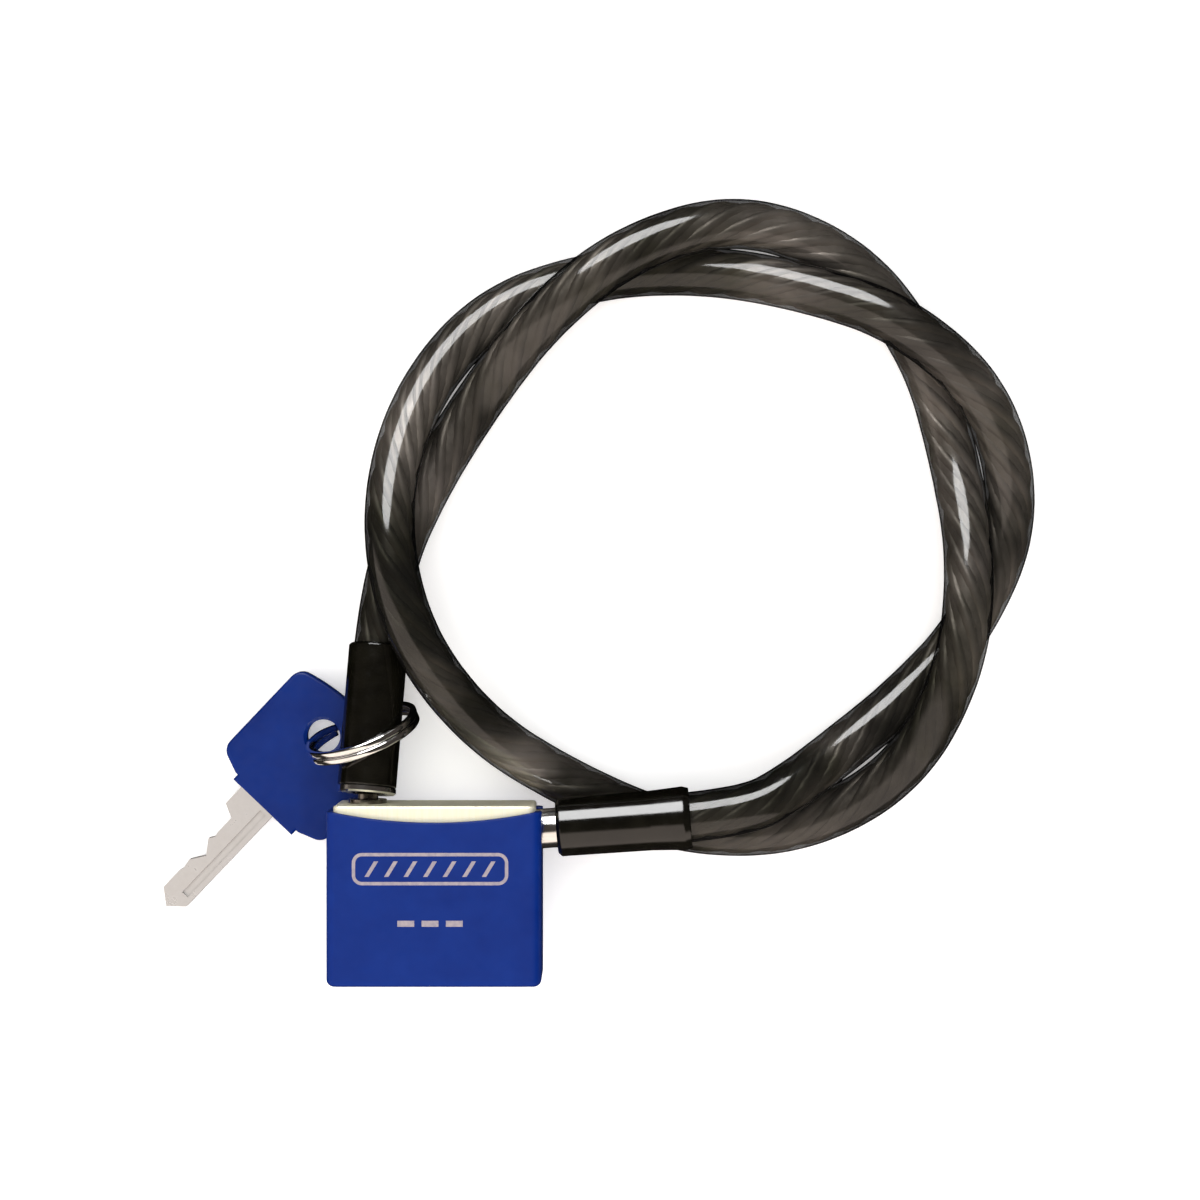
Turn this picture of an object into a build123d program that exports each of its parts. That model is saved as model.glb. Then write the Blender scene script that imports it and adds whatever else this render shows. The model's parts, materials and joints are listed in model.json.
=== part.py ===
from build123d import *
import os
from math import cos, hypot, radians, sin, tan

# Cable padlock: a metal lock body in a slip-on plastic jacket, a coated steel cable in place of a shackle,
# one cable end swivelling on a stud, the other end a pin that locks into the body's side, and a key on a ring.
# Millimetres. +X runs along the body's width, +Y from the keyway end to the stud end, +Z up off the table.

# Lock body
BODY_X = 1.7            # middle of the body's width
BODY_Z = 12.2           # middle of the body's thickness, above the table
BODY_W = 30.0
BODY_T = 13.2
TOP_Y = 1.4             # end face that carries the stud
KEY_END_Y = -24.6       # end face with the keyway
BODY_ROUND = 1.0

# Plastic jacket round the body
JACKET_WALL = 0.9
JACKET_SIDE_WALL = 1.0
JACKET_TOP_Y = 0.5      # where the open end's edge starts at both sides
JACKET_DIP = 1.55       # how far that edge dips in the middle
JACKET_ROUND = 1.5
PLUG_WINDOW_R = 4.9
PIN_NOTCH_R = 3.8       # half width of the notch in its side wall for the locking pin

# Key plug and its pins
PLUG_R = 4.5
PLUG_FIT = 0.05
PLUG_END_Y = -8.2
KEYWAY_W = 2.3
KEYWAY_H = 7.2
KEYWAY_END_Y = -10.0
PIN_R = 1.1
CHAMBER_R = 1.2
CHAMBER_YS = [-21.0, -17.8, -14.6, -11.4]
KEY_PIN_LENGTHS = [2.4, 3.0, 2.2, 2.7]
KEY_PIN_START = 4.3     # distance of a key pin's outer end from the plug's axis
DRIVER_LENGTH = 3.0
DRIVER_START = 4.64     # distance of a driver pin's inner end from the plug's axis
CAP_DEPTH = 0.8
CAP_R = 1.5
RETAINER_R = 0.6
RETAINER_Y = -9.2
GROOVE_R = 3.7
GROOVE_HALF = 0.66
CAM_R = 0.9
CAM_THROW = 0.9         # distance of the cam pin from the plug's axis

# Latch that enters the locking pin's groove
LATCH_Y = [-7.95, -6.9]
LATCH_TRAVEL = 2 * CAM_THROW * sin(radians(45))
FINGER_X = [9.2, 11.2]
FINGER_TOP_Y = -5.25
FINGER_Z = [14.35, 16.2]
POCKET_GAP = 0.2

# Swivel end: a stud with a round head, and the ferrule that turns and nods on it
STUD_X = -8.65
STUD_R = 2.9
STUD_DEPTH_Y = -6.6
STUD_SHOULDER_Y = 2.0
STUD_NECK_R = 1.6
HEAD_Y = 5.4
HEAD_R = 3.05
CROSS_PIN_R = 0.8
CROSS_PIN_Y = -3.6
SWIVEL_LEAN = radians(4.2)
SWIVEL_DIP = radians(8.0)
HEAD_TO_COLLAR = 2.6
COLLAR_R = 4.45
COLLAR_T = 0.9
COLLAR_HOLE_R = 2.35
COLLAR_HOLE_INNER_R = 3.0
SOCKET_R = 3.4
SOCKET_END = 6.5
FERRULE_R = 3.9
CORE_SEAT = 8.5
FERRULE_END = 14.0
SLEEVE_R = 4.45
SWIVEL_LENGTH = 22.6

# Locking end: a grooved pin in a ferrule and sleeve
BORE_Y = -2.9
BORE_R = 3.6
BORE_X = [6.2, BODY_X + BODY_W / 2]
LOCK_X = 11.7           # where the pin's axis crosses the bore's axis
LOCK_LEAN = radians(4.3)
LOCK_RISE = radians(1.4)
LOCK_PIN_R = 3.0
LOCK_GROOVE_R = 2.2
LOCK_FERRULE = [8.6, 20.0]
LOCK_PIN_SEAT = 14.0
LOCK_CORE_SEAT = 15.0
LOCK_SLEEVE = [8.25, 28.4]
LOCK_SLEEVE_R = 4.4
LOCK_MOUTH_R = 4.8
SLEEVE_BORE_R = 3.9

# Cable
CABLE_R = 3.8
CORE_R = 2.75
CORE_BORE_R = 2.8
CORE_END_GAP = 0.3
COAT_INSET = 8.0        # how far the coat runs inside each sleeve

# Split ring
RING_OUTER_R = 9.0
RING_INNER_R = 8.0
RING_HALF_BAND = 1.1
RING_XY = (-9.74, 11.75)
RING_TURN = radians(20)
RING_LEAN = radians(15.5)

# Key, in its own frame: x from the ring hole towards the tip
KEY_HOLE_Z = 3.3
KEY_TIP_DIRECTION = (-0.691, -0.723)
KEY_DIP = radians(3.5)
SHOULDER_X = 14.5
BOW_SHIFT_Y = 0.7
BOW_HALF_W = 10.6
BOW_END_X = -6.6
BOW_CORNER_X = -4.9
BOW_SIDE_X = 12.0
COLLAR_HALF_W = 6.2
KEY_COLLAR_X = 13.5
BOW_T = 2.5
BOW_CORNER_R = 2.2
KEY_HOLE_R = 2.55
BLADE_T = 2.0
BLADE_TAIL_X = 8.5
BLADE_SHIFT_Y = -0.5
# blade outline from its shoulder: cut edge, tip, then the straight back edge
BLADE_OUTLINE = [(-6.0, -3.3), (3.5, -3.3), (4.5, -1.1), (7.6, -1.1), (8.4, -0.9), (9.3, -1.5), (11.5, 0.1),
                 (13.8, -1.4), (15.3, -1.1), (16.1, -1.35), (19.6, -1.35), (21.5, 1.0), (19.4, 3.3), (-6.0, 3.3)]
BLADE_GROOVE_Y = 1.9
BLADE_GROOVE_W = 1.2
BLADE_GROOVE_D = 0.5

body_centre_y = (TOP_Y + KEY_END_Y) / 2
swivel_direction = Vector(sin(SWIVEL_LEAN) * cos(SWIVEL_DIP), cos(SWIVEL_LEAN) * cos(SWIVEL_DIP), -sin(SWIVEL_DIP))
swivel_base = Vector(STUD_X, HEAD_Y, BODY_Z) - swivel_direction * HEAD_TO_COLLAR
swivel_mouth = swivel_base + swivel_direction * SWIVEL_LENGTH
lock_direction = Vector(cos(LOCK_LEAN) * cos(LOCK_RISE), sin(LOCK_LEAN) * cos(LOCK_RISE), sin(LOCK_RISE))
lock_cross = Vector(LOCK_X, BORE_Y, BODY_Z)
lock_mouth = lock_cross + lock_direction * LOCK_SLEEVE[1]

# The cable's route over the table, from the swivel end to the locking end: two turns that cross each other
# four times, one pass under the locking end and one over the swivel end.
CABLE_POINTS = [
    (-0.7, 49.1, 4.6), (8.3, 63.5, 4.6), (18.0, 75.3, 10.9), (30.9, 85.4, 12.2), (48.3, 90.6, 8.6),
    (65.7, 84.2, 3.9), (76.4, 69.8, 3.8), (80.8, 53.8, 4.2), (82.8, 38.3, 10.4), (81.0, 21.7, 12.2),
    (72.9, 5.4, 7.4), (57.0, -3.6, 3.8), (38.4, -3.5, 3.8), (22.4, 3.2, 3.8), (8.0, 12.4, 10.2),
    (-2.3, 26.6, 17.2), (-6.1, 44.3, 15.0), (-2.4, 62.2, 7.2), (8.9, 76.5, 3.8), (25.6, 82.1, 3.8),
    (41.6, 82.9, 3.9), (56.7, 80.0, 8.0), (72.3, 74.4, 12.7), (86.1, 62.4, 9.6), (90.6, 44.3, 3.9),
    (83.3, 27.4, 3.8), (72.6, 16.4, 3.8), (63.2, 9.2, 6.6), (55.6, 3.8, 10.8),
]
SWIVEL_EXIT_RUN = 10.0
LOCK_EXIT_RUN = 8.0


def finish(builder, label):
    """Name a finished piece and write it."""
    builder.part.label = label
    export_step(builder.part, f"parts/{label}.step")
    print(f"{label}: {len(builder.part.solids())} solid(s), {builder.part.volume:.1f} mm3")


def along(origin, direction):
    """A plane whose normal runs along a shaft, and the plane of the shaft's half section."""
    shaft = Plane(origin=origin, z_dir=direction)
    return shaft, Plane(origin=origin, x_dir=shaft.x_dir, z_dir=-shaft.y_dir)


def turned(origin, direction, outline):
    """A turned piece: its half section's (radius, distance) corners, revolved about the shaft."""
    section = along(origin, direction)[1]
    with BuildPart() as piece:
        with BuildSketch(section):
            with BuildLine():
                Polyline(*outline, close=True)
            make_face()
        revolve(axis=Axis(origin, direction))
    return piece


def drill(origin, direction, radius, depth):
    """Take a round hole of a given depth out of the piece being built."""
    with BuildSketch(along(origin, direction)[0]) as hole:
        Circle(radius)
    extrude(hole.sketch, amount=depth, dir=Vector(*direction), mode=Mode.SUBTRACT)


def rod(origin, direction, radius, length):
    """A plain round rod."""
    with BuildPart() as piece:
        with BuildSketch(along(origin, direction)[0]):
            Circle(radius)
        extrude(amount=length)
    return piece


def block(low, high, mode=Mode.ADD):
    """A box between two corners in the piece being built."""
    with BuildSketch(Plane.XY.offset(low[2])) as base:
        with Locations(((low[0] + high[0]) / 2, (low[1] + high[1]) / 2)):
            Rectangle(high[0] - low[0], high[1] - low[1])
    extrude(base.sketch, amount=high[2] - low[2], dir=(0, 0, 1), mode=mode)


os.makedirs("parts", exist_ok=True)

# ---- lock body -------------------------------------------------------------------------------------------------
pocket_z = [BODY_Z - 2.6 - LATCH_TRAVEL - POCKET_GAP, FINGER_Z[1] + POCKET_GAP]
stud_end = Vector(STUD_X, STUD_DEPTH_Y, BODY_Z)
with BuildPart() as brass_body:
    with BuildSketch(Plane(origin=(BODY_X, KEY_END_Y, BODY_Z), x_dir=(1, 0, 0), z_dir=(0, 1, 0))):
        RectangleRounded(BODY_W, BODY_T, BODY_ROUND)
    extrude(amount=TOP_Y - KEY_END_Y)
    fillet(brass_body.faces().sort_by(Axis.Y)[-1].edges(), 0.4)
    drill((BODY_X, KEY_END_Y, BODY_Z), (0, 1, 0), PLUG_R + PLUG_FIT, LATCH_Y[0] - 0.15 - KEY_END_Y)
    drill((BORE_X[0], BORE_Y, BODY_Z), (1, 0, 0), BORE_R, BORE_X[1] - BORE_X[0] + 1)
    drill(stud_end, (0, 1, 0), STUD_R + 0.02, TOP_Y - STUD_DEPTH_Y + 1)
    drill((STUD_X, CROSS_PIN_Y, BODY_Z - BODY_T / 2 - 1), (0, 0, 1), CROSS_PIN_R, BODY_T + 2)
    drill((BODY_X + GROOVE_R + RETAINER_R + 0.05, RETAINER_Y, BODY_Z - BODY_T / 2 - 1), (0, 0, 1), RETAINER_R,
          BODY_T + 2)
    for y in CHAMBER_YS:
        drill((BODY_X - PLUG_R + 0.3, y, BODY_Z), (-1, 0, 0), CHAMBER_R, BODY_W / 2)
        drill((BODY_X - BODY_W / 2 + CAP_DEPTH, y, BODY_Z), (-1, 0, 0), CAP_R, CAP_DEPTH + 1)
    block((BODY_X - 2.6, LATCH_Y[0] - 0.15, pocket_z[0]), (FINGER_X[1] + 0.2, LATCH_Y[1] + 0.15, pocket_z[1]),
          Mode.SUBTRACT)
    block((FINGER_X[0] - 0.2, LATCH_Y[1], FINGER_Z[0] - LATCH_TRAVEL - 0.4),
          (FINGER_X[1] + 0.2, FINGER_TOP_Y + 0.2, pocket_z[1]), Mode.SUBTRACT)
finish(brass_body, "brass_body")

# ---- plastic jacket, open at the stud end, its front and back edges dipping in an arc -------------------------
jacket_low = Vector(BODY_X - BODY_W / 2 - JACKET_SIDE_WALL, KEY_END_Y - JACKET_WALL, BODY_Z - BODY_T / 2 - JACKET_WALL)
jacket_w = BODY_W + 2 * JACKET_SIDE_WALL
jacket_t = BODY_T + 2 * JACKET_WALL
with BuildPart() as cover_jacket:
    with BuildSketch(Plane(origin=(BODY_X, jacket_low.Y, BODY_Z), x_dir=(1, 0, 0), z_dir=(0, 1, 0))):
        RectangleRounded(jacket_w, jacket_t, JACKET_ROUND)
    extrude(amount=JACKET_TOP_Y - jacket_low.Y)
    fillet(cover_jacket.faces().sort_by(Axis.Y)[0].edges(), 1.1)
    with BuildSketch(Plane(origin=(BODY_X, KEY_END_Y, BODY_Z), x_dir=(1, 0, 0), z_dir=(0, 1, 0))):
        RectangleRounded(BODY_W, BODY_T, BODY_ROUND - 0.1)
    extrude(amount=TOP_Y - KEY_END_Y + 1, mode=Mode.SUBTRACT)
    with BuildSketch(Plane.XY.offset(jacket_low.Z - 1)):
        with BuildLine():
            ThreePointArc((BODY_X - BODY_W / 2, JACKET_TOP_Y), (BODY_X, JACKET_TOP_Y - JACKET_DIP),
                          (BODY_X + BODY_W / 2, JACKET_TOP_Y))
            Polyline((BODY_X + BODY_W / 2, JACKET_TOP_Y), (BODY_X + BODY_W / 2, TOP_Y + 1),
                     (BODY_X - BODY_W / 2, TOP_Y + 1), (BODY_X - BODY_W / 2, JACKET_TOP_Y))
        make_face()
    extrude(amount=jacket_t + 2, mode=Mode.SUBTRACT)
    drill((BODY_X + BODY_W / 2 - 1, BORE_Y, BODY_Z), (1, 0, 0), PIN_NOTCH_R, 3)
    block((BODY_X + BODY_W / 2 - 1, BORE_Y, BODY_Z - PIN_NOTCH_R),
          (BODY_X + BODY_W / 2 + 2, TOP_Y, BODY_Z + PIN_NOTCH_R), Mode.SUBTRACT)
    drill((BODY_X, KEY_END_Y + 1, BODY_Z), (0, -1, 0), PLUG_WINDOW_R, 3)
finish(cover_jacket, "cover_jacket")

# ---- plug, its cam and the pins --------------------------------------------------------------------------------
cam_x = BODY_X + CAM_THROW * cos(radians(45))
cam_z = BODY_Z + CAM_THROW * sin(radians(45))
with BuildPart() as plug:
    with BuildSketch(Plane(origin=(BODY_X, KEY_END_Y, BODY_Z), x_dir=(1, 0, 0), z_dir=(0, 1, 0))):
        Circle(PLUG_R)
    extrude(amount=PLUG_END_Y - KEY_END_Y)
    chamfer(plug.faces().sort_by(Axis.Y)[0].edges(), 0.3)
    with BuildSketch(Plane(origin=(BODY_X, RETAINER_Y - GROOVE_HALF, BODY_Z), x_dir=(1, 0, 0), z_dir=(0, 1, 0))):
        Circle(PLUG_R + 1)
        Circle(GROOVE_R, mode=Mode.SUBTRACT)
    extrude(amount=2 * GROOVE_HALF, mode=Mode.SUBTRACT)
    block((BODY_X - KEYWAY_H / 2, KEY_END_Y - 1, BODY_Z - KEYWAY_W / 2),
          (BODY_X + KEYWAY_H / 2, KEYWAY_END_Y, BODY_Z + KEYWAY_W / 2), Mode.SUBTRACT)
    for y in CHAMBER_YS:
        drill((BODY_X, y, BODY_Z), (-1, 0, 0), CHAMBER_R, PLUG_R + 1)
    drill((cam_x, KEYWAY_END_Y + 0.2, cam_z), (0, 1, 0), CAM_R, 3)
finish(plug, "plug")

finish(rod((cam_x, KEYWAY_END_Y + 0.2, cam_z), (0, 1, 0), CAM_R, LATCH_Y[1] - KEYWAY_END_Y - 0.2), "plug_cam_pin")
finish(rod((BODY_X + GROOVE_R + RETAINER_R + 0.05, RETAINER_Y, BODY_Z - BODY_T / 2), (0, 0, 1), RETAINER_R, BODY_T),
       "plug_retaining_pin")

spring_start = DRIVER_START + DRIVER_LENGTH
spring_length = BODY_W / 2 - CAP_DEPTH - spring_start
SPRING_WIRE_R = 0.14
SPRING_R = 0.85
for number, (y, length) in enumerate(zip(CHAMBER_YS, KEY_PIN_LENGTHS), start=1):
    outer_end = (BODY_X - KEY_PIN_START, y, BODY_Z)
    key_pin = turned(outer_end, (1, 0, 0), [(0, 0), (PIN_R, 0), (PIN_R, length - 0.8), (0.3, length), (0, length)])
    finish(key_pin, f"key_pin_{number}")
    driver = turned((BODY_X - DRIVER_START, y, BODY_Z), (-1, 0, 0),
                    [(0, 0), (0.9, 0), (PIN_R, 0.2), (PIN_R, DRIVER_LENGTH), (0, DRIVER_LENGTH)])
    finish(driver, f"driver_pin_{number}")
    coil_plane = Plane(origin=(BODY_X - spring_start - SPRING_WIRE_R - 0.03, y, BODY_Z), z_dir=(-1, 0, 0))
    coil = coil_plane * Helix(pitch=0.9, height=spring_length - 2 * SPRING_WIRE_R - 0.06, radius=SPRING_R)
    with BuildPart() as spring:
        with BuildSketch(Plane(origin=coil @ 0, z_dir=coil % 0)):
            Circle(SPRING_WIRE_R)
        sweep(path=coil, is_frenet=True)
    finish(spring, f"pin_spring_{number}")

with BuildPart() as chamber_caps:
    for y in CHAMBER_YS:
        with BuildSketch(along((BODY_X - BODY_W / 2, y, BODY_Z), (1, 0, 0))[0]):
            Circle(CAP_R)
        extrude(amount=CAP_DEPTH)
finish(chamber_caps, "chamber_caps")

# ---- latch: a flat plate that the cam pin drives, with one finger for the locking pin's groove ----------------
with BuildPart() as latch:
    block((BODY_X - 2.2, LATCH_Y[0], BODY_Z - 2.4), (FINGER_X[1], LATCH_Y[1], FINGER_Z[1]))
    block((FINGER_X[0], LATCH_Y[1], FINGER_Z[0]), (FINGER_X[1], FINGER_TOP_Y, FINGER_Z[1]))
    block((cam_x - CAM_R - 0.15, LATCH_Y[0] - 1, cam_z - CAM_R - 0.06),
          (BODY_X + CAM_THROW + CAM_R + 0.15, LATCH_Y[1] + 1, cam_z + CAM_R + 0.06), Mode.SUBTRACT)
finish(latch, "latch")

# ---- swivel end ------------------------------------------------------------------------------------------------
shoulder = STUD_SHOULDER_Y - STUD_DEPTH_Y
head = HEAD_Y - STUD_DEPTH_Y
with BuildPart() as swivel_stud:
    with BuildSketch(along(stud_end, (0, 1, 0))[1]):
        with BuildLine():
            Polyline((0, 0), (STUD_R - 0.4, 0), (STUD_R, 0.4), (STUD_R, shoulder), (STUD_NECK_R, shoulder),
                     (STUD_NECK_R, head), (0, head), close=True)
        make_face()
    revolve(axis=Axis(stud_end, (0, 1, 0)))
    with Locations((STUD_X, HEAD_Y, BODY_Z)):
        Sphere(HEAD_R)
    drill((STUD_X, CROSS_PIN_Y, BODY_Z - BODY_T / 2), (0, 0, 1), CROSS_PIN_R, BODY_T)
finish(swivel_stud, "swivel_stud")
finish(rod((STUD_X, CROSS_PIN_Y, BODY_Z - BODY_T / 2), (0, 0, 1), CROSS_PIN_R, BODY_T), "stud_cross_pin")

swivel_collar = turned(swivel_base, swivel_direction,
                       [(COLLAR_HOLE_R, 0), (COLLAR_R - 0.25, 0), (COLLAR_R, 0.25), (COLLAR_R, COLLAR_T),
                        (COLLAR_HOLE_INNER_R, COLLAR_T)])
finish(swivel_collar, "swivel_collar")
with BuildPart() as swivel_ferrule:
    with BuildSketch(along(swivel_base, swivel_direction)[1]):
        with BuildLine():
            Polyline((SOCKET_R, COLLAR_T), (FERRULE_R, COLLAR_T), (FERRULE_R, FERRULE_END),
                     (CORE_BORE_R, FERRULE_END), (CORE_BORE_R, CORE_SEAT), (0, CORE_SEAT), (0, SOCKET_END), (SOCKET_R, SOCKET_END), close=True)
        make_face()
    revolve(axis=Axis(swivel_base, swivel_direction))
finish(swivel_ferrule, "swivel_ferrule")
swivel_sleeve = turned(swivel_base, swivel_direction,
                       [(FERRULE_R, COLLAR_T), (SLEEVE_R - 0.3, COLLAR_T), (SLEEVE_R, COLLAR_T + 0.3),
                        (SLEEVE_R, SWIVEL_LENGTH - 0.3), (SLEEVE_R - 0.3, SWIVEL_LENGTH),
                        (SLEEVE_BORE_R, SWIVEL_LENGTH)])
finish(swivel_sleeve, "swivel_sleeve")

# ---- locking end -----------------------------------------------------------------------------------------------
groove = [FINGER_X[0] - LOCK_X - 0.3, FINGER_X[1] - LOCK_X + 0.3]
PIN_TIP = -4.3
locking_pin = turned(lock_cross, lock_direction,
                     [(0, PIN_TIP), (LOCK_PIN_R - 0.8, PIN_TIP), (LOCK_PIN_R, PIN_TIP + 0.8), (LOCK_PIN_R, groove[0]),
                      (LOCK_GROOVE_R, groove[0]), (LOCK_GROOVE_R, groove[1]), (LOCK_PIN_R, groove[1]),
                      (LOCK_PIN_R, LOCK_PIN_SEAT), (0, LOCK_PIN_SEAT)])
finish(locking_pin, "locking_pin")
locking_ferrule = turned(lock_cross, lock_direction,
                         [(LOCK_PIN_R, LOCK_FERRULE[0]), (FERRULE_R, LOCK_FERRULE[0]), (FERRULE_R, LOCK_FERRULE[1]),
                          (CORE_BORE_R, LOCK_FERRULE[1]), (CORE_BORE_R, LOCK_CORE_SEAT), (0, LOCK_CORE_SEAT),
                          (0, LOCK_PIN_SEAT), (LOCK_PIN_R, LOCK_PIN_SEAT)])
finish(locking_ferrule, "locking_ferrule")
locking_sleeve = turned(lock_cross, lock_direction,
                        [(LOCK_PIN_R + 0.05, LOCK_SLEEVE[0]), (LOCK_SLEEVE_R - 0.5, LOCK_SLEEVE[0]),
                         (LOCK_SLEEVE_R, LOCK_SLEEVE[0] + 0.5), (LOCK_SLEEVE_R + 0.1, LOCK_SLEEVE[1] - 6),
                         (LOCK_MOUTH_R, LOCK_SLEEVE[1] - 1), (LOCK_MOUTH_R - 0.3, LOCK_SLEEVE[1]),
                         (SLEEVE_BORE_R, LOCK_SLEEVE[1]), (SLEEVE_BORE_R, LOCK_FERRULE[0]),
                         (LOCK_PIN_R + 0.05, LOCK_FERRULE[0])])
finish(locking_sleeve, "locking_sleeve")

# ---- cable: straight runs joined by tangent arcs --------------------------------------------------------------
route = ([swivel_mouth + swivel_direction * SWIVEL_EXIT_RUN] + [Vector(*p) for p in CABLE_POINTS]
         + [lock_mouth + lock_direction * LOCK_EXIT_RUN])


def cable_path(start, end):
    """The route between two points inside the sleeves, and its bend radii."""
    points = [start] + route + [end]
    radii = []
    for before, here, after in zip(points, points[1:], points[2:]):
        turn = radians((here - before).get_angle(after - here))
        radii.append(0.45 * min((here - before).length, (after - here).length) / tan(turn / 2))
    with BuildLine() as path:
        FilletPolyline(*points, radius=radii)
    return path.wires()[0], radii


def tube(start, end, radius, bore=0.0):
    """The cable's coat or core along the route."""
    path, radii = cable_path(start, end)
    with BuildPart() as piece:
        with BuildSketch(Plane(origin=path @ 0, z_dir=path % 0)):
            Circle(radius)
            if bore:
                Circle(bore, mode=Mode.SUBTRACT)
        sweep(path=path)
    return piece, path.length, radii


coat_start = swivel_mouth - swivel_direction * COAT_INSET
coat_end = lock_mouth - lock_direction * COAT_INSET
cable_jacket, coat_length, bend_radii = tube(coat_start, coat_end, CABLE_R, CORE_BORE_R)
print("bend radii", [round(r, 1) for r in bend_radii])
print("coat length", round(coat_length, 1), "free length", round(coat_length - 2 * COAT_INSET, 1))
finish(cable_jacket, "cable_jacket")
core_start = swivel_base + swivel_direction * (CORE_SEAT + CORE_END_GAP)
core_end = lock_cross + lock_direction * (LOCK_CORE_SEAT + CORE_END_GAP)
cable_core, core_length, _ = tube(core_start, core_end, CORE_R)
finish(cable_core, "cable_core")

# ---- split ring ------------------------------------------------------------------------------------------------
ring_x = Vector(cos(RING_TURN), sin(RING_TURN), 0)
ring_up = Vector(sin(RING_LEAN) * sin(RING_TURN), -sin(RING_LEAN) * cos(RING_TURN), cos(RING_LEAN))
ring_z = RING_OUTER_R * cos(RING_LEAN) + RING_HALF_BAND * sin(RING_LEAN)
ring_centre = Vector(RING_XY[0], RING_XY[1], ring_z)
ring_normal = ring_x.cross(ring_up)
with BuildPart() as key_ring:
    with BuildSketch(Plane(origin=ring_centre, x_dir=ring_x, z_dir=-ring_up)):
        for side in (-1, 1):
            with Locations(((RING_INNER_R + RING_OUTER_R) / 2, side * RING_HALF_BAND / 2)):
                RectangleRounded(RING_OUTER_R - RING_INNER_R, RING_HALF_BAND, 0.25)
        with Locations(((RING_INNER_R + RING_OUTER_R) / 2, 0)):
            Rectangle(0.6, 0.6)
    revolve(axis=Axis(ring_centre, ring_normal))
finish(key_ring, "key_ring")

# ---- key -------------------------------------------------------------------------------------------------------
ring_mid_r = (RING_INNER_R + RING_OUTER_R) / 2
down = (KEY_HOLE_Z - ring_z) / cos(RING_LEAN)
across = -(ring_mid_r ** 2 - down ** 2) ** 0.5
key_hole = ring_centre + ring_x * across + ring_up * down
tip_length = hypot(*KEY_TIP_DIRECTION)
key_x = Vector(KEY_TIP_DIRECTION[0] / tip_length * cos(KEY_DIP), KEY_TIP_DIRECTION[1] / tip_length * cos(KEY_DIP),
               -sin(KEY_DIP))
key_y = Vector(-KEY_TIP_DIRECTION[1] / tip_length, KEY_TIP_DIRECTION[0] / tip_length, 0)
key_normal = key_x.cross(key_y)
blade_points = [(SHOULDER_X + x, y + BLADE_SHIFT_Y) for x, y in BLADE_OUTLINE]


def key_plane(offset):
    """The key's plane through the ring hole, raised along the key's normal."""
    return Plane(origin=key_hole + key_normal * offset, x_dir=key_x, z_dir=key_normal)


with BuildPart() as key_blade:
    with BuildSketch(key_plane(-BLADE_T / 2)):
        with BuildLine():
            Polyline(*blade_points, close=True)
        make_face()
    extrude(amount=BLADE_T)
    for face in (-1, 1):
        with BuildSketch(key_plane(face * BLADE_T / 2)):
            with Locations((SHOULDER_X + 9.4, BLADE_GROOVE_Y + BLADE_SHIFT_Y)):
                Rectangle(17.6, BLADE_GROOVE_W)
        extrude(amount=-face * BLADE_GROOVE_D, mode=Mode.SUBTRACT)
finish(key_blade, "key_blade")

with BuildPart() as key_bow:
    with BuildSketch(key_plane(-BOW_T / 2)):
        with BuildLine():
            low, high = BOW_SHIFT_Y - BOW_HALF_W, BOW_SHIFT_Y + BOW_HALF_W
            neck_low, neck_high = BOW_SHIFT_Y - COLLAR_HALF_W, BOW_SHIFT_Y + COLLAR_HALF_W
            ThreePointArc((BOW_CORNER_X, low), (BOW_END_X, BOW_SHIFT_Y), (BOW_CORNER_X, high))
            Polyline((BOW_CORNER_X, high), (BOW_SIDE_X, high), (KEY_COLLAR_X, neck_high + 0.45),
                     (KEY_COLLAR_X, neck_high), (SHOULDER_X, neck_high), (SHOULDER_X, neck_low),
                     (KEY_COLLAR_X, neck_low), (KEY_COLLAR_X, neck_low - 0.45), (BOW_SIDE_X, low),
                     (BOW_CORNER_X, low))
        make_face()
    extrude(amount=BOW_T)
    corners = [corner for corner in key_bow.edges().filter_by(Axis((0, 0, 0), key_normal))
               if abs(abs(key_plane(0).to_local_coords(corner.center()).Y - BOW_SHIFT_Y) - BOW_HALF_W) < 0.1]
    fillet(corners, BOW_CORNER_R)
    rims = key_bow.faces().filter_by(Axis((0, 0, 0), key_normal))
    fillet(rims.edges(), 0.45)
    drill(key_hole - key_normal * BOW_T, key_normal, KEY_HOLE_R, 2 * BOW_T)
    hole_edges = [edge for edge in key_bow.edges().filter_by(GeomType.CIRCLE) if abs(edge.radius - KEY_HOLE_R) < 0.01]
    chamfer(hole_edges, 0.5)
    with BuildSketch(key_plane(-BLADE_T / 2)) as slot:
        with BuildLine():
            Polyline((BLADE_TAIL_X, BLADE_SHIFT_Y - 3.3), (SHOULDER_X + 1, BLADE_SHIFT_Y - 3.3),
                     (SHOULDER_X + 1, BLADE_SHIFT_Y + 3.3), (BLADE_TAIL_X, BLADE_SHIFT_Y + 3.3), close=True)
        make_face()
    extrude(slot.sketch, amount=BLADE_T, dir=key_normal, mode=Mode.SUBTRACT)
finish(key_bow, "key_bow")
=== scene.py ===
import json
from math import cos, pi, radians, sin

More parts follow.
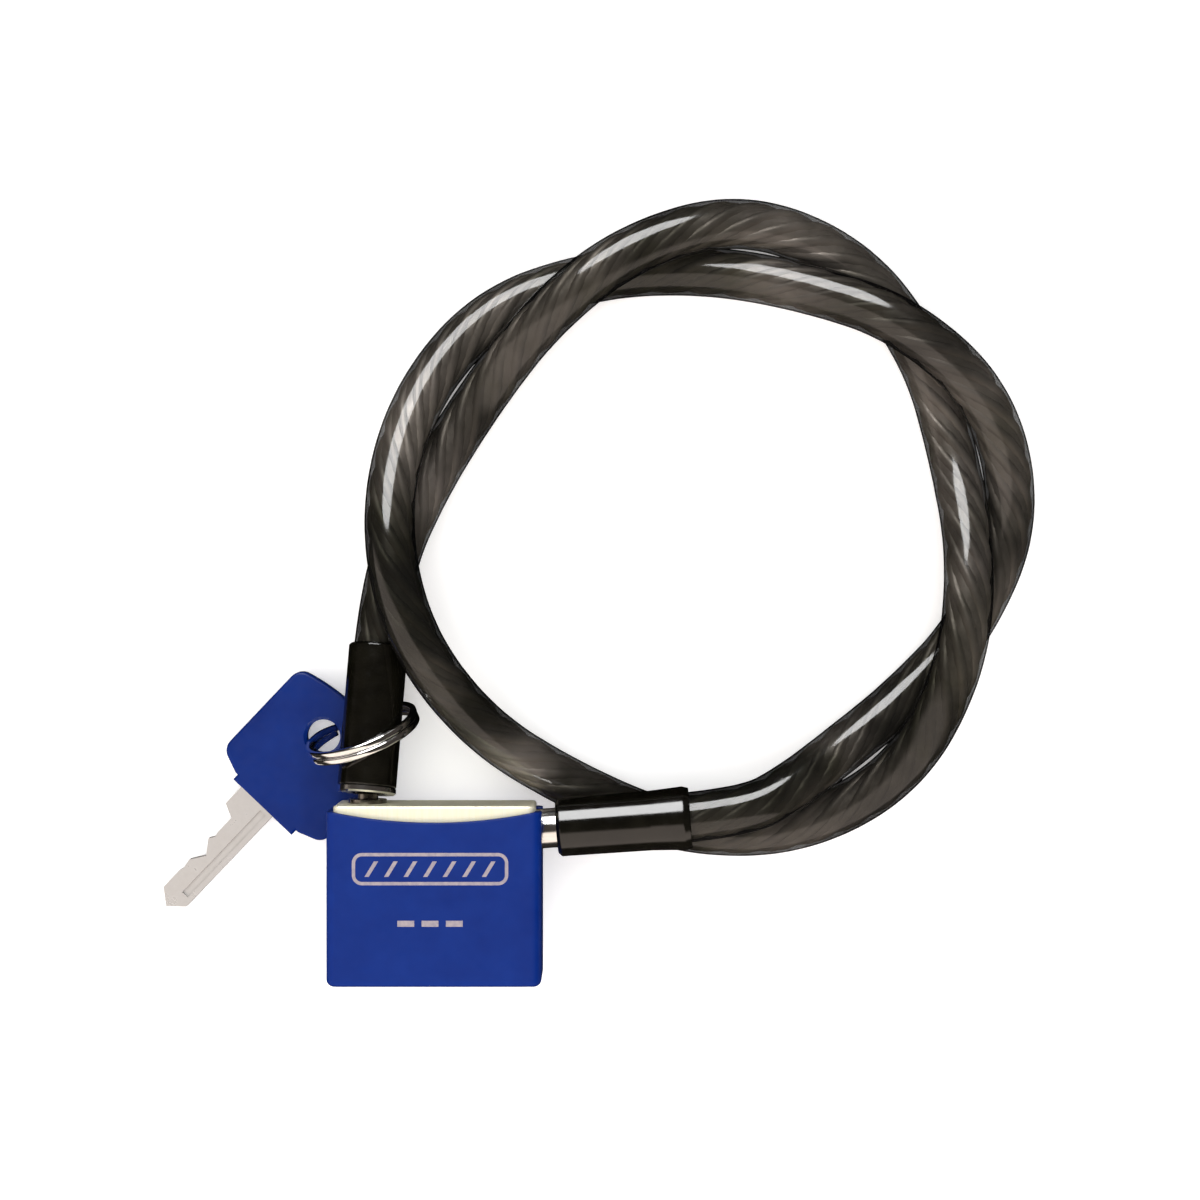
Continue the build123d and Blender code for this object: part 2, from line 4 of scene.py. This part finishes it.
import bmesh
import bpy
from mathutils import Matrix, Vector
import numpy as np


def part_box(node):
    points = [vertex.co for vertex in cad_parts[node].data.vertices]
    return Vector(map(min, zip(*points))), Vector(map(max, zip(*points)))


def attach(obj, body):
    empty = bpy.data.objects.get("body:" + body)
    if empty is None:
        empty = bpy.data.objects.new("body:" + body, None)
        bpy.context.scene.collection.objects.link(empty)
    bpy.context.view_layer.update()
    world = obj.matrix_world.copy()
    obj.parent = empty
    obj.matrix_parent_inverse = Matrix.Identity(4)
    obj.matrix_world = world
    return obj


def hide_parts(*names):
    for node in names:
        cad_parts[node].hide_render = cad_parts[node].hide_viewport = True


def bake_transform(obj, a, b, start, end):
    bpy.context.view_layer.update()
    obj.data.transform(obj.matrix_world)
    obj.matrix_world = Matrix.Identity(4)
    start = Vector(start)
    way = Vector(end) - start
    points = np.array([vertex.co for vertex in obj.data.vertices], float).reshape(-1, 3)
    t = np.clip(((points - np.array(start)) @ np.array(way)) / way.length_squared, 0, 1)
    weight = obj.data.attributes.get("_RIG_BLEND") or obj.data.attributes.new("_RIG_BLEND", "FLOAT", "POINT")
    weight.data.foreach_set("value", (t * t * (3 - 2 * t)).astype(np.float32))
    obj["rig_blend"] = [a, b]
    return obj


# Looks of a cable padlock: lock body in a blue jacket, smoky coated steel cable, locking pin,
# split ring and key.
# Metres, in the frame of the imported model.

MM = 0.001

# Camera, straight above the lock
CAMERA_AT = Vector((26.4, 32.0, 450.0)) * MM
VIEW_WIDTH_AT_1M = 0.41344      # width of the view one metre away
SENSOR_MM = 36.0
CLIP_START = 0.01

# Studio: a wall that the glossy parts see, in a dim room, and two soft lights
WALL_DIRECTION = (-0.45, -0.89, 0.0)
WALL_EDGE = (0.28, 0.42)        # how nearly a direction points at the wall where the wall fades in
WALL_LEVEL = 1.35
ROOM_LEVEL = 0.05
HORIZON = (-0.05, 0.12)         # heights of a direction between which the table's shade ends
BELOW_LEVEL = 0.02
WALL_TINT = (1.0, 0.86, 0.76, 1.0)
STRIP_LIGHT = {"azimuth": 103, "elevation": 42, "distance": 0.9, "size": (0.72, 0.62), "watts": 16.5}
OVERHEAD_LIGHT = {"azimuth": 90, "elevation": 89, "distance": 1.3, "size": (2.4, 2.4), "watts": 33.0}
FLOOR_SIZE = 1.2
FLOOR_CELLS = 8
FLOOR_DROP = 0.2 * MM
FLOOR_GLOW = 0.3

# Cable
CABLE_R = 3.8 * MM
STRANDS = 6
STRAND_R = 1.12 * MM
STRAND_RING_R = 2.36 * MM
STRAND_PITCH = 34.0 * MM
FILLER_R = 3.0 * MM
COAT_RELIEF = 0.003             # how deep the strands show in the coat, as a share of its radius
COAT_SIDES = 48
WIRE_LOBES = 5
WIRE_LOBE_DEPTH = 0.12          # as a share of the strand's radius
WIRE_PITCH = 9.0 * MM
STRAND_SIDES = 20
TUCK = 6.0 * MM                 # how far the cable runs inside each sleeve
SWIVEL_EXIT_RUN = 10.0 * MM     # straight run out of each sleeve
LOCK_EXIT_RUN = 8.0 * MM
SWIVEL_SLEEVE_END = 22.6 * MM   # from the collar's outer face
HEAD_TO_COLLAR = 2.6 * MM
LOCK_CROSS = Vector((11.7, -2.9, 12.2)) * MM    # where the locking pin's axis crosses its bore's
LOCK_MOUTH = 28.4 * MM          # from there to the end of the locking end's sleeve
BEND_STRETCH = 62.0 * MM        # the end of the cable that gives when the locking end is pulled out

# The cable's route, from the swivel end round two crossing turns to the locking end
CABLE_ROUTE_MM = [
    (-0.7, 49.1, 4.6), (8.3, 63.5, 4.6), (18.0, 75.3, 10.9), (30.9, 85.4, 12.2), (48.3, 90.6, 8.6),
    (65.7, 84.2, 3.9), (76.4, 69.8, 3.8), (80.8, 53.8, 4.2), (82.8, 38.3, 10.4), (81.0, 21.7, 12.2),
    (72.9, 5.4, 7.4), (57.0, -3.6, 3.8), (38.4, -3.5, 3.8), (22.4, 3.2, 3.8), (8.0, 12.4, 10.2),
    (-2.3, 26.6, 17.2), (-6.1, 44.3, 15.0), (-2.4, 62.2, 7.2), (8.9, 76.5, 3.8), (25.6, 82.1, 3.8),
    (41.6, 82.9, 3.9), (56.7, 80.0, 8.0), (72.3, 74.4, 12.7), (86.1, 62.4, 9.6), (90.6, 44.3, 3.9),
    (83.3, 27.4, 3.8), (72.6, 16.4, 3.8), (63.2, 9.2, 6.6), (55.6, 3.8, 10.8),
]

# Split ring
RING_OUTER_R = 9.0 * MM
RING_INNER_R = 8.0 * MM
COIL_T = 1.04 * MM
COIL_GAP = 0.08 * MM
COIL_TURNS = 1.97
COIL_START = radians(250)
STEP_OVER_AT = 0.9              # turns before the wire steps over to its second coil
STEP_OVER_TURNS = 0.17
COIL_STEPS = 280
COIL_SIDES = 16
COIL_SQUARENESS = 0.72          # 0 for round wire, 1 for square

# Printed mark: a hatched capsule over a row of dashes
MARK_SHIFT_X = -0.5 * MM        # from the jacket's middle
MARK_LIFT = 0.02 * MM
CAPSULE_DOWN = 8.4 * MM         # from the jacket's upper edge
CAPSULE_HALF_W = 11.6 * MM
CAPSULE_HALF_H = 2.4 * MM
CAPSULE_STROKE = 0.5 * MM
CAPSULE_CORNER_R = 1.5 * MM
CORNER_STEPS = 8
HATCHES = 7
HATCH_SPACING = 2.9 * MM
HATCH_HALF = (0.32 * MM, 1.15 * MM)
HATCH_LEAN = 0.7 * MM
DASH_DOWN = 16.5 * MM
DASHES = 3
DASH_SPACING = 3.6 * MM
DASH_HALF = (1.25 * MM, 0.45 * MM)

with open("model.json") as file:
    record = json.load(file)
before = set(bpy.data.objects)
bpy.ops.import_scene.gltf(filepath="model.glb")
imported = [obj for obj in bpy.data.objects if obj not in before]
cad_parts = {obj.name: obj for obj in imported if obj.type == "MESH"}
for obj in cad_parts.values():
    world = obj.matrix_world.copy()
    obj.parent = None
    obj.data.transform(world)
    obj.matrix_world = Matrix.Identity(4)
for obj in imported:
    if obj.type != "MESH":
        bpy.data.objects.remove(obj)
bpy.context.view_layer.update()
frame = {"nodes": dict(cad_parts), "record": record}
nodes = frame["nodes"]
joints = {joint["name"]: joint for joint in frame["record"]["behaviour"]["joints"]}


# ---- small helpers ---------------------------------------------------------------------------------
def unit(values):
    return Vector(values).normalized()


def new_object(name, mesh):
    obj = bpy.data.objects.new(name, mesh)
    bpy.context.scene.collection.objects.link(obj)
    return obj


def smooth(mesh):
    mesh.polygons.foreach_set("use_smooth", [True] * len(mesh.polygons))


def frames_along(points):
    """Tangent, side and up at each point of a path, turned as little as possible from one to the next."""
    tangents = []
    for i in range(len(points)):
        ahead, behind = points[min(i + 1, len(points) - 1)], points[max(i - 1, 0)]
        tangents.append((ahead - behind).normalized())
    side = tangents[0].cross(Vector((0, 0, 1))).normalized()
    result = []
    for tangent in tangents:
        side = (side - tangent * side.dot(tangent)).normalized()
        result.append((tangent, side, side.cross(tangent)))
    return result


def run_lengths(points):
    """Distance travelled along a path at each of its points."""
    travelled = [0.0]
    for a, b in zip(points, points[1:]):
        travelled.append(travelled[-1] + (b - a).length)
    return travelled


def ease(share):
    """A smooth step from 0 to 1."""
    return share * share * (3 - 2 * share)


def skin(name, rings):
    """A mesh through rings of points, capped at both ends."""
    mesh = bpy.data.meshes.new(name)
    count = len(rings[0])
    verts = [p for ring in rings for p in ring]
    faces = []
    for i in range(len(rings) - 1):
        a, b = i * count, (i + 1) * count
        for k in range(count):
            n = (k + 1) % count
            faces.append((a + k, a + n, b + n, b + k))
    faces.append(tuple(reversed(range(count))))
    faces.append(tuple(range((len(rings) - 1) * count, len(rings) * count)))
    mesh.from_pydata(verts, [], faces)
    mesh.validate()
    smooth(mesh)
    return mesh


def round_ring(centre, side, up, radius, count, lobes=0, lobe_turn=0.0, lobe_depth=0.0):
    """A ring of points round a centre, with shallow lobes if asked for."""
    ring = []
    for k in range(count):
        angle = 2 * pi * k / count
        r = radius * (1 - lobe_depth * (0.5 - 0.5 * cos(lobes * (angle - lobe_turn))))
        ring.append(centre + side * (r * cos(angle)) + up * (r * sin(angle)))
    return ring


# ---- material building -----------------------------------------------------------------------------
class Shader:
    """A procedural material with a principled shader at its end."""

    def __init__(self, name, color, roughness, metallic=0.0, specular=0.5):
        self.material = bpy.data.materials.new(name)
        self.material.use_nodes = True
        self.tree = self.material.node_tree
        self.tree.nodes.clear()
        self.output = self.tree.nodes.new("ShaderNodeOutputMaterial")
        self.main = self.tree.nodes.new("ShaderNodeBsdfPrincipled")
        self.tree.links.new(self.main.outputs["BSDF"], self.output.inputs["Surface"])
        self.main.inputs["Base Color"].default_value = (*color, 1.0)
        self.main.inputs["Roughness"].default_value = roughness
        self.main.inputs["Metallic"].default_value = metallic
        self.main.inputs["Specular IOR Level"].default_value = specular
        self.place = self.tree.nodes.new("ShaderNodeTexCoord").outputs["Object"]
        self.normal = None

    def node(self, kind, inputs=None, **settings):
        made = self.tree.nodes.new(kind)
        for key, value in settings.items():
            setattr(made, key, value)
        for key, value in (inputs or {}).items():
            self.feed(made.inputs[key], value)
        return made

    def feed(self, socket, value):
        """Set a socket to a number, a vector or a colour, or link another socket to it."""
        if isinstance(value, bpy.types.NodeSocket):
            self.tree.links.new(value, socket)
        else:
            socket.default_value = value

    def noise(self, scale, detail=3.0, stretch=(1, 1, 1)):
        """Noise over the object, scale in cycles per metre, stretched along the axes."""
        mapped = self.node("ShaderNodeMapping", {"Vector": self.place, "Scale": stretch})
        inputs = {"Vector": mapped.outputs[0], "Scale": scale, "Detail": detail, "Roughness": 0.55}
        return self.node("ShaderNodeTexNoise", inputs).outputs["Fac"]

    def spread(self, value, low, high, start=0.0, end=1.0):
        """Map start..end of a value to low..high."""
        inputs = {"Value": value, "From Min": start, "From Max": end, "To Min": low, "To Max": high}
        return self.node("ShaderNodeMapRange", inputs).outputs[0]

    def blend(self, value, first, second):
        """A colour between two, by a value from 0 to 1; the first may be a socket."""
        mixed = self.node("ShaderNodeMix", data_type="RGBA")
        self.feed(mixed.inputs["Factor"], value)
        self.feed(mixed.inputs[6], first if isinstance(first, bpy.types.NodeSocket) else (*first, 1.0))
        self.feed(mixed.inputs[7], (*second, 1.0))
        return mixed.outputs[2]

    def color(self, socket):
        self.tree.links.new(socket, self.main.inputs["Base Color"])

    def roughness(self, socket):
        self.tree.links.new(socket, self.main.inputs["Roughness"])

    def bump(self, height, distance, strength=1.0):
        inputs = {"Height": height, "Distance": distance, "Strength": strength}
        if self.normal is not None:
            inputs["Normal"] = self.normal
        self.normal = self.node("ShaderNodeBump", inputs).outputs[0]
        self.tree.links.new(self.normal, self.main.inputs["Normal"])

    def soften(self, radius):
        """Round the edges in the shading."""
        self.normal = self.node("ShaderNodeBevel", {"Radius": radius}, samples=6).outputs[0]
        self.tree.links.new(self.normal, self.main.inputs["Normal"])

    def edges(self, radius, gain):
        """0 on flat faces, rising to 1 on rounded edges, where a painted highlight goes."""
        rounded = self.node("ShaderNodeBevel", {"Radius": radius}, samples=6).outputs[0]
        true = self.node("ShaderNodeNewGeometry").outputs["True Normal"]
        alike = self.node("ShaderNodeVectorMath", {0: rounded, 1: true}, operation="DOT_PRODUCT")
        return self.spread(alike.outputs["Value"], 1.0, 0.0, 1.0 - 1.0 / gain, 1.0)


def dress(obj, shader):
    """Give an object one material."""
    obj.data.materials.clear()
    obj.data.materials.append(shader.material)


def moulded_blue(name, base, light, specular, roughness, painted_edge_highlight):
    shader = Shader(name, base, roughness, specular=specular)
    cloud = shader.noise(180, 4)
    # The light tone is a random mottle over the surface and, on the edges, a painted highlight.
    tone = shader.blend(shader.spread(cloud, 0.0, 0.35, 0.3, 0.7), base, light)
    # Painted edge highlight: the rounded edges are lightened towards the light tone.
    if painted_edge_highlight:
        shader.soften(0.5 * MM)
        tone = shader.blend(shader.edges(0.55 * MM, 2.2), tone, light)
    shader.color(tone)
    shader.roughness(shader.spread(shader.noise(900, 2), roughness - 0.06, roughness + 0.08, 0.3, 0.7))
    shader.bump(shader.noise(5200, 2), 0.01 * MM, 0.15)
    return shader


def turned_metal(name, base, shade, roughness, stretch, grain=900, depth=0.01, metallic=1.0):
    shader = Shader(name, base, roughness, metallic=metallic)
    lines = shader.noise(grain, 4, stretch)
    shader.color(shader.blend(shader.spread(lines, 0.0, 1.0, 0.3, 0.7), base, shade))
    shader.roughness(shader.spread(lines, roughness - 0.06, roughness + 0.1, 0.3, 0.7))
    shader.bump(lines, depth * MM, 0.6)
    return shader


def sleeve_black():
    base = (0.0024, 0.0022, 0.0014)
    shader = Shader("sleeve_black", base, 0.08, specular=0.55)
    shader.soften(0.3 * MM)
    film = shader.noise(260, 3)
    lighter = [channel * 2.2 for channel in base]
    shader.color(shader.blend(shader.spread(film, 0.0, 1.0, 0.35, 0.65), base, lighter))
    shader.roughness(shader.spread(shader.noise(700, 3), 0.08, 0.18, 0.35, 0.75))
    shader.bump(shader.noise(140, 2), 0.12 * MM, 0.25)
    return shader


def smoky_coat():
    """Clear PVC with black in it: glossy, half see-through, and darker where it is seen through its side."""
    shader = Shader("smoky_coat", (0.004, 0.004, 0.004), 0.07, specular=0.5)
    density = shader.spread(shader.noise(45, 3), 0.57, 0.86, 0.3, 0.7)
    grazing = shader.node("ShaderNodeLayerWeight", {"Blend": 0.5}).outputs["Facing"]
    rim = shader.spread(grazing, 0.0, 0.5, 0.62, 0.92)
    opacity = shader.node("ShaderNodeMath", {0: density, 1: rim}, operation="ADD", use_clamp=True)
    shader.feed(shader.main.inputs["Alpha"], opacity.outputs[0])
    shader.roughness(shader.spread(shader.noise(500, 3), 0.05, 0.16, 0.35, 0.75))
    shader.bump(shader.noise(120, 2), 0.1 * MM, 0.2)
    return shader


def wire_rope():
    shader = Shader("wire_rope", (0.30, 0.28, 0.25), 0.42, metallic=0.35)
    patches = shader.spread(shader.noise(42, 4), 0.0, 1.0, 0.35, 0.65)
    shader.color(shader.blend(patches, (0.78, 0.69, 0.61), (0.20, 0.185, 0.115)))
    shader.roughness(shader.spread(shader.noise(1500, 2), 0.3, 0.55, 0.3, 0.7))
    shader.bump(shader.noise(2600, 2), 0.05 * MM, 0.5)
    return shader


def printed_ink():
    shader = Shader("grey_ink", (0.42, 0.38, 0.40), 0.6, specular=0.2)
    wear = shader.spread(shader.noise(1600, 3), 0.0, 1.0, 0.35, 0.65)
    shader.color(shader.blend(wear, (0.36, 0.31, 0.33), (0.27, 0.24, 0.29)))
    return shader


BLUE = moulded_blue("jacket_blue", (0.0008, 0.017, 0.158), (0.003, 0.032, 0.24), 0.11, 0.42, True)
BOW_BLUE = moulded_blue("bow_blue", (0.0003, 0.014, 0.13), (0.002, 0.030, 0.22), 0.13, 0.36, False)
BRASS = turned_metal("body_brass", (0.95, 0.92, 0.74), (0.88, 0.83, 0.60), 0.36, (1, 0.06, 1), 1400,
                     metallic=0.3)
PLUG_BRASS = turned_metal("plug_brass", (0.80, 0.68, 0.40), (0.66, 0.55, 0.32), 0.3, (1, 0.1, 1), 1200)
PLATED = turned_metal("plated_steel", (0.86, 0.86, 0.84), (0.72, 0.72, 0.70), 0.14, (0.1, 1, 1), 900,
                      0.004)
STEEL = turned_metal("turned_steel", (0.58, 0.58, 0.57), (0.45, 0.45, 0.44), 0.3, (1, 1, 0.2), 1100)
CHROME = turned_metal("ring_chrome", (0.90, 0.90, 0.89), (0.80, 0.80, 0.79), 0.09, (1, 1, 1), 400, 0.003)
NICKEL = turned_metal("key_nickel", (0.60, 0.58, 0.56), (0.48, 0.46, 0.44), 0.3, (1, 1, 1), 300, 0.0, 0.4)
DARK_STEEL = turned_metal("dark_steel", (0.20, 0.19, 0.17), (0.10, 0.09, 0.08), 0.2, (1, 0.2, 1), 900)
INK = printed_ink()
SLEEVE = sleeve_black()
COAT = smoky_coat()
ROPE = wire_rope()


# ---- camera, light and floor -----------------------------------------------------------------------
def add_camera():
    data = bpy.data.cameras.new("photo_camera")
    data.sensor_width = SENSOR_MM
    data.lens = SENSOR_MM / VIEW_WIDTH_AT_1M
    data.clip_start = CLIP_START
    camera = bpy.data.objects.new("photo_camera", data)
    camera.location = CAMERA_AT
    bpy.context.scene.collection.objects.link(camera)
    bpy.context.scene.camera = camera


def smooth_step(tree, value, start, end, low, high):
    step = tree.nodes.new("ShaderNodeMapRange")
    step.interpolation_type = "SMOOTHSTEP"
    for name, number in (("From Min", start), ("From Max", end), ("To Min", low), ("To Max", high)):
        step.inputs[name].default_value = number
    tree.links.new(value, step.inputs["Value"])
    return step.outputs[0]


def add_world():
    """A dim studio with one grey-brown wall, as the glossy parts see it; a white backdrop for the lens."""
    world = bpy.data.worlds.new("studio")
    world.use_nodes = True
    tree = world.node_tree
    tree.nodes.clear()
    output = tree.nodes.new("ShaderNodeOutputWorld")
    background = tree.nodes.new("ShaderNodeBackground")
    place = tree.nodes.new("ShaderNodeTexCoord").outputs["Generated"]
    towards = tree.nodes.new("ShaderNodeVectorMath")
    towards.operation = "DOT_PRODUCT"
    towards.inputs[1].default_value = WALL_DIRECTION
    parts = tree.nodes.new("ShaderNodeSeparateXYZ")
    tree.links.new(place, towards.inputs[0])
    tree.links.new(place, parts.inputs[0])
    wall = smooth_step(tree, towards.outputs["Value"], *WALL_EDGE, ROOM_LEVEL, WALL_LEVEL)
    above = smooth_step(tree, parts.outputs["Z"], *HORIZON, BELOW_LEVEL, 1.0)
    strength = tree.nodes.new("ShaderNodeMath")
    strength.operation = "MULTIPLY"
    tree.links.new(wall, strength.inputs[0])
    tree.links.new(above, strength.inputs[1])
    tree.links.new(strength.outputs[0], background.inputs["Strength"])
    background.inputs["Color"].default_value = WALL_TINT
    backdrop = tree.nodes.new("ShaderNodeBackground")
    backdrop.inputs["Color"].default_value = (1.0, 1.0, 1.0, 1.0)
    seen = tree.nodes.new("ShaderNodeMixShader")
    tree.links.new(tree.nodes.new("ShaderNodeLightPath").outputs["Is Camera Ray"], seen.inputs[0])
    tree.links.new(background.outputs[0], seen.inputs[1])
    tree.links.new(backdrop.outputs[0], seen.inputs[2])
    tree.links.new(seen.outputs[0], output.inputs["Surface"])
    bpy.context.scene.world = world


def add_softbox(name, glossy, azimuth, elevation, distance, size, watts):
    """An oval soft light aimed at the lock, either for its reflections or for plain lighting."""
    data = bpy.data.lights.new(name, "AREA")
    data.shape = "ELLIPSE"
    data.size, data.size_y = size
    data.energy = watts
    light = bpy.data.objects.new(name, data)
    aim = Vector((CAMERA_AT.x, CAMERA_AT.y, 0))
    a, e = radians(azimuth), radians(elevation)
    direction = Vector((cos(a) * cos(e), sin(a) * cos(e), sin(e)))
    light.location = aim + direction * distance
    light.rotation_euler = direction.to_track_quat("Z", "Y").to_euler()
    light.visible_camera = False
    light.visible_diffuse = not glossy
    light.visible_glossy = glossy
    bpy.context.scene.collection.objects.link(light)


def add_floor():
    floor = bmesh.new()
    bmesh.ops.create_grid(floor, x_segments=FLOOR_CELLS, y_segments=FLOOR_CELLS, size=FLOOR_SIZE)
    mesh = bpy.data.meshes.new("floor")
    floor.to_mesh(mesh)
    floor.free()
    obj = new_object("floor", mesh)
    obj.location = (CAMERA_AT.x, CAMERA_AT.y, -FLOOR_DROP)
    paper = Shader("white_paper", (0.93, 0.93, 0.93), 0.9, specular=0.05)
    paper.color(paper.blend(paper.noise(40, 3), (0.95, 0.95, 0.95), (0.93, 0.93, 0.93)))
    paper.main.inputs["Emission Color"].default_value = (1.0, 1.0, 1.0, 1.0)
    paper.main.inputs["Emission Strength"].default_value = FLOOR_GLOW
    dress(obj, paper)
    obj.visible_glossy = False


# ---- cable -----------------------------------------------------------------------------------------
def spline_points(control):
    """Points along the smooth line that a list of control points makes."""
    curve = bpy.data.curves.new("cable_route", "CURVE")
    curve.dimensions = "3D"
    curve.resolution_u = 16
    spline = curve.splines.new("NURBS")
    spline.points.add(len(control) - 1)
    for point, place in zip(spline.points, control):
        point.co = (*place, 1.0)
    spline.order_u = 3
    spline.use_endpoint_u = True
    carrier = new_object("cable_route", curve)
    bpy.context.view_layer.update()
    mesh = bpy.data.meshes.new_from_object(carrier)
    points = [v.co.copy() for v in mesh.vertices]
    bpy.data.objects.remove(carrier)
    bpy.data.curves.remove(curve)
    bpy.data.meshes.remove(mesh)
    return points


def bend_with_locking_end(obj, points, travelled, ring_size):
    """Let only the last stretch of the cable follow the locking end."""
    first_bending = next(i for i, t in enumerate(travelled) if t > travelled[-1] - BEND_STRETCH)
    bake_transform(obj, "lock_body", "locking_end", start=points[first_bending], end=points[-1])
    weights = obj.data.attributes["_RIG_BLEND"].data
    span = len(points) * ring_size
    for i, weight in enumerate(weights):
        step = (i % span) // ring_size
        done = max(0.0, (travelled[step] - travelled[first_bending]) / BEND_STRETCH)
        weight.value = ease(done)


def add_cable():
    swivel_axis = unit(joints["swivel_turn"]["axis"])
    lock_axis = unit(joints["locking_end_slide"]["axis"])
    pivot = Vector(joints["swivel_turn"]["pos_m"])
    swivel_mouth = pivot + swivel_axis * (SWIVEL_SLEEVE_END - HEAD_TO_COLLAR)
    lock_mouth = LOCK_CROSS + lock_axis * LOCK_MOUTH
    control = [swivel_mouth - swivel_axis * TUCK, swivel_mouth + swivel_axis * SWIVEL_EXIT_RUN]
    control += [Vector(p) * MM for p in CABLE_ROUTE_MM]
    control += [lock_mouth + lock_axis * LOCK_EXIT_RUN, lock_mouth - lock_axis * TUCK]
    points = spline_points(control)
    travelled = run_lengths(points)
    axes = frames_along(points)

    coat_rings = [round_ring(p, side, up, CABLE_R, COAT_SIDES, STRANDS, 2 * pi * t / STRAND_PITCH,
                             COAT_RELIEF) for p, (_, side, up), t in zip(points, axes, travelled)]
    coat = new_object("cable_coat", skin("cable_coat", coat_rings))
    dress(coat, COAT)

    strand_meshes = bmesh.new()
    filler = [round_ring(p, side, up, FILLER_R, STRAND_SIDES) for p, (_, side, up) in zip(points, axes)]
    strand_meshes.from_mesh(skin("filler", filler))
    for strand in range(STRANDS):
        rings = []
        for p, (_, side, up), t in zip(points, axes, travelled):
            turn = 2 * pi * (strand / STRANDS + t / STRAND_PITCH)
            out = side * cos(turn) + up * sin(turn)
            rings.append(round_ring(p + out * STRAND_RING_R, side, up, STRAND_R, STRAND_SIDES, WIRE_LOBES,
                                    turn - 2 * pi * t / WIRE_PITCH, WIRE_LOBE_DEPTH))
        strand_meshes.from_mesh(skin("strand", rings))
    rope_mesh = bpy.data.meshes.new("wire_rope")
    strand_meshes.to_mesh(rope_mesh)
    strand_meshes.free()
    rope = new_object("wire_rope", rope_mesh)
    dress(rope, ROPE)

    for obj, node, slot, ring_size in ((coat, "cable_jacket", "cable_coat", COAT_SIDES),
                                       (rope, "cable_core", "cable_wire", STRAND_SIDES)):
        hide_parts(node)
        bend_with_locking_end(obj, points, travelled, ring_size)


# ---- split ring ------------------------------------------------------------------------------------
def add_ring():
    """Two turns of flat wire that step over each other where the wire ends."""
    joint = joints["ring_turn"]
    centre, normal = Vector(joint["pos_m"]), unit(joint["axis"])
    level = Vector((0, 0, 1)).cross(normal).normalized()
    steep = normal.cross(level)
    mid = (RING_OUTER_R + RING_INNER_R) / 2
    half_r, half_t = (RING_OUTER_R - RING_INNER_R) / 2, COIL_T / 2
    offset = (COIL_T + COIL_GAP) / 2
    rings = []
    for i in range(COIL_STEPS + 1):
        turns = i / COIL_STEPS * COIL_TURNS
        angle = 2 * pi * turns + COIL_START
        stepped_over = ease(min(1.0, max(0.0, (turns - STEP_OVER_AT) / STEP_OVER_TURNS)))
        lift = -offset + 2 * offset * stepped_over
        out = level * cos(angle) + steep * sin(angle)
        ring = []
        for k in range(COIL_SIDES):
            a = 2 * pi * (k + 0.5) / COIL_SIDES
            square = max(abs(cos(a)), abs(sin(a))) ** COIL_SQUARENESS
            ring.append(centre + out * (mid + half_r * cos(a) / square)
                        + normal * (lift + half_t * sin(a) / square))
        rings.append(ring)
    ring_obj = new_object("split_ring", skin("split_ring", rings))
    dress(ring_obj, CHROME)
    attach(ring_obj, "split_ring")
    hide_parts("key_ring")


# ---- printed mark ----------------------------------------------------------------------------------
def add_mark():
    """A plain generic print on the jacket's front: a hatched capsule over three short dashes."""
    low, high = (Vector(corner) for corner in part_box("cover_jacket"))
    middle_x = (low.x + high.x) / 2 + MARK_SHIFT_X
    z = high.z + MARK_LIFT
    capsule_y, dash_y = high.y - CAPSULE_DOWN, high.y - DASH_DOWN
    mark = bmesh.new()

    def outline(inset):
        loop = []
        radius = CAPSULE_CORNER_R - inset
        for quarter, (sx, sy) in enumerate(((1, 1), (-1, 1), (-1, -1), (1, -1))):
            centre_x = middle_x + sx * (CAPSULE_HALF_W - CAPSULE_CORNER_R)
            centre_y = capsule_y + sy * (CAPSULE_HALF_H - CAPSULE_CORNER_R)
            for k in range(CORNER_STEPS + 1):
                angle = pi / 2 * (quarter + k / CORNER_STEPS)
                loop.append(mark.verts.new((centre_x + radius * cos(angle),
                                            centre_y + radius * sin(angle), z)))
        return loop

    outer, inner = outline(0.0), outline(CAPSULE_STROKE)
    for k in range(len(outer)):
        n = (k + 1) % len(outer)
        mark.faces.new((outer[k], outer[n], inner[n], inner[k]))

    def slab(x, y, half, lean):
        corners = ((-half[0] - lean, -half[1]), (half[0] - lean, -half[1]),
                   (half[0] + lean, half[1]), (-half[0] + lean, half[1]))
        mark.faces.new([mark.verts.new((x + dx, y + dy, z)) for dx, dy in corners])

    for k in range(HATCHES):
        slab(middle_x + (k - HATCHES // 2) * HATCH_SPACING, capsule_y, HATCH_HALF, HATCH_LEAN)
    for k in range(DASHES):
        slab(middle_x + (k - DASHES // 2) * DASH_SPACING, dash_y, DASH_HALF, 0.0)
    mesh = bpy.data.meshes.new("printed_mark")
    mark.to_mesh(mesh)
    mark.free()
    obj = new_object("printed_mark", mesh)
    dress(obj, INK)
    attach(obj, "lock_body")


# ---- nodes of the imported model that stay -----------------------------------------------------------
def dress_nodes():
    looks = {"cover_jacket": BLUE, "brass_body": BRASS, "chamber_caps": BRASS, "plug": PLUG_BRASS,
             "swivel_sleeve": SLEEVE, "locking_sleeve": SLEEVE, "locking_pin": PLATED,
             "swivel_collar": PLATED, "swivel_stud": DARK_STEEL, "key_blade": NICKEL, "key_bow": BOW_BLUE}
    for name, obj in nodes.items():
        if name.startswith(("key_pin", "driver_pin")):
            dress(obj, PLUG_BRASS)
        elif name not in ("cable_jacket", "cable_core", "key_ring"):
            dress(obj, looks.get(name, STEEL))


add_camera()
add_world()
add_softbox("strip_light", True, **STRIP_LIGHT)
add_softbox("overhead_light", False, **OVERHEAD_LIGHT)
add_floor()
add_cable()
add_ring()
add_mark()
dress_nodes()
bpy.context.scene.view_settings.view_transform = "Standard"
